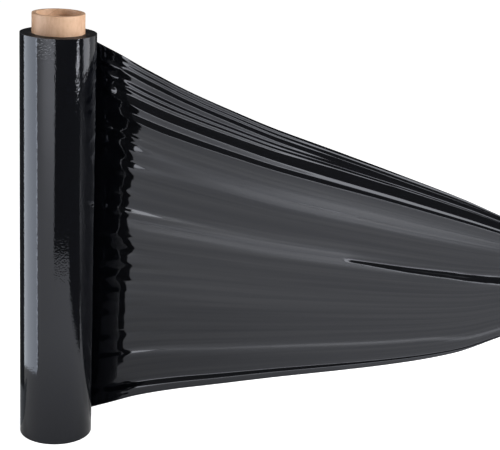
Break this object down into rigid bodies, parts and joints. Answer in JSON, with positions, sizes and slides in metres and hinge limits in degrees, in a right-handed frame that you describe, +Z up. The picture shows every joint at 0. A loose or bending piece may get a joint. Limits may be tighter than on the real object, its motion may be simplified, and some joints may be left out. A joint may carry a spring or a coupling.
{
  "type": "stretch wrap roll",
  "caption": "Roll of black stretch film on a paperboard core, standing on its end, with a gathered length of film pulled out from its back.",
  "frame": {"origin": "centre of the core's bore in the plane that the roll stands on", "axes": "+Z up along the core's axis, towards the end where the core sticks out; the pulled-out film runs to +X and a little towards -Y"},
  "size_m": [0.544, 0.2399, 0.5228],
  "materials": {
    "paperboard": "spiral-wound kraft paperboard, matt",
    "film": "glossy black polyethylene stretch film"
  },
  "bodies": {
    "root": {"cardboard_core": "paperboard", "stretch_film": "film"}
  },
  "joints": []
}
